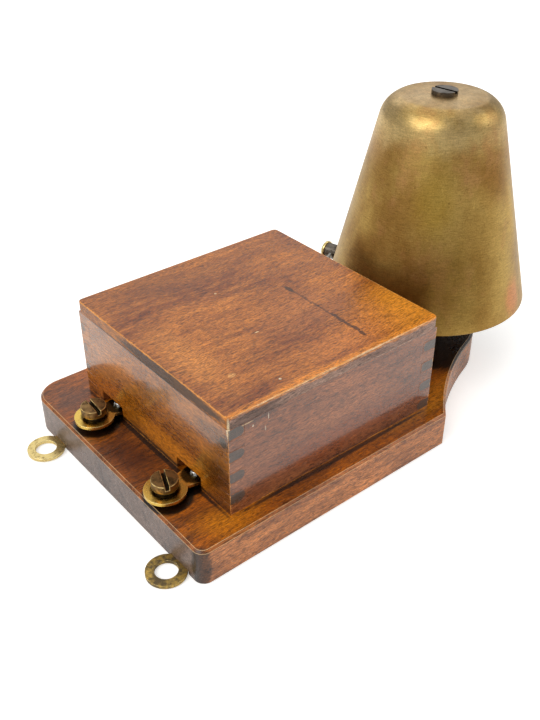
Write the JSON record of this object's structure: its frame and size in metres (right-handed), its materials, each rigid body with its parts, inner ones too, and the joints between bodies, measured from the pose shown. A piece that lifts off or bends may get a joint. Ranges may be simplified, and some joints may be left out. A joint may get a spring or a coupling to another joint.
{
  "type": "electric door bell",
  "caption": "Trembler door bell on a shaped wooden board, with a comb-jointed wooden cover, a tall brass gong, slotted terminals and hanging eyes.",
  "frame": {"origin": "middle of the board's underside, which is the face that rests on a table or hangs against a wall", "axes": "+Z out of the board towards the cover's lid, +X along the board towards the gong"},
  "size_m": [0.1885, 0.1, 0.1014],
  "materials": {
    "stained_wood": "walnut-stained, shellac-polished hardwood, worn on its edges",
    "plain_wood": "bare softwood blocks",
    "aged_brass": "spun brass, satin, brown and olive patina",
    "terminal_brass": "stamped brass, darkened, rubbed bright on the rims",
    "gilt_brass": "stamped brass, bright with dark pits",
    "dark_steel": "blackened turned steel",
    "bright_steel": "plain steel, light rust",
    "iron": "japanned soft iron",
    "bobbin_wood": "turned boxwood, stained",
    "silk_wire": "green silk-covered copper wire",
    "leather": "oiled leather",
    "solder": "tin solder, semi-bright"
  },
  "bodies": {
    "base": {"baseboard": "stained_wood", "cover_blocks": "plain_wood", "gong": "aged_brass", "gong_screw": "dark_steel", "gong_washer": "leather", "gong_post": "bright_steel", "post_washer": "bright_steel", "post_nut": "bright_steel", "terminal_near": "terminal_brass", "terminal_far": "terminal_brass", "terminal_spacers": "terminal_brass", "terminal_bushes": "terminal_brass", "terminal_tail_screws": "terminal_brass", "terminal_solder": "solder", "hanging_eye_near": "gilt_brass", "hanging_eye_far": "gilt_brass", "hanging_eye_screws": "terminal_brass", "magnet_frame": "iron", "magnet_frame_screws": "bright_steel", "core_screws": "bright_steel", "core_terminal_side": "iron", "core_gong_side": "iron", "bobbin_terminal_side": "bobbin_wood", "bobbin_gong_side": "bobbin_wood", "winding_terminal_side": "silk_wire", "winding_gong_side": "silk_wire", "spring_post": "terminal_brass", "spring_clamp": "terminal_brass", "spring_clamp_screws": "bright_steel", "contact_pillar": "terminal_brass", "contact_lock_nut": "terminal_brass", "pillar_screws": "bright_steel", "wire_near_terminal": "silk_wire", "wire_coil_link": "silk_wire", "wire_to_spring_post": "silk_wire", "wire_far_terminal": "silk_wire"},
    "cover": {"cover_wall_near": "stained_wood", "cover_wall_far": "stained_wood", "cover_wall_terminal_end": "stained_wood", "cover_wall_gong_end": "stained_wood", "cover_lid": "stained_wood"},
    "hammer": {"armature": "iron", "armature_spring": "bright_steel", "armature_screws": "terminal_brass", "hammer_rod": "bright_steel", "hammer_head": "dark_steel", "hammer_cap": "gilt_brass"},
    "near_collar": {"terminal_collar_near": "dark_steel"},
    "near_screw": {"terminal_screw_near": "terminal_brass"},
    "far_collar": {"terminal_collar_far": "dark_steel"},
    "far_screw": {"terminal_screw_far": "terminal_brass"},
    "contact_adjuster": {"contact_screw": "terminal_brass"}
  },
  "joints": [
    {"name": "cover_lift", "type": "slide", "parent": "base", "child": "cover", "axis": [0, 0, 1], "range_m": [0, 0.045]},
    {"name": "hammer_swing", "type": "hinge", "parent": "base", "child": "hammer", "pos_m": [-0.0466, 0.0158, 0.028], "axis": [0, 0, -1], "range_deg": [0, 1], "stiffness_Nm_per_rad": 0.25, "springref_deg": -1.72},
    {"name": "contact_turn", "type": "hinge", "parent": "base", "child": "contact_adjuster", "pos_m": [-0.0176, 0.0217, 0.028], "axis": [0, 1, 0], "range_deg": [-90, 90]},
    {"name": "near_collar_rise", "type": "slide", "parent": "base", "child": "near_collar", "axis": [0, 0, 1], "range_m": [0, 0.0028]},
    {"name": "near_screw_turn", "type": "hinge", "parent": "near_collar", "child": "near_screw", "pos_m": [-0.0733, -0.024, 0.018], "axis": [0, 0, 1], "range_deg": [0, 1440]},
    {"name": "far_collar_rise", "type": "slide", "parent": "base", "child": "far_collar", "axis": [0, 0, 1], "range_m": [0, 0.0028]},
    {"name": "far_screw_turn", "type": "hinge", "parent": "far_collar", "child": "far_screw", "pos_m": [-0.0716, 0.02, 0.018], "axis": [0, 0, 1], "range_deg": [0, 1440]}
  ],
  "couplings": [
    {"joint": "near_screw_turn", "follows": "near_collar_rise", "rad_per_m": 8976},
    {"joint": "far_screw_turn", "follows": "far_collar_rise", "rad_per_m": 8976}
  ]
}
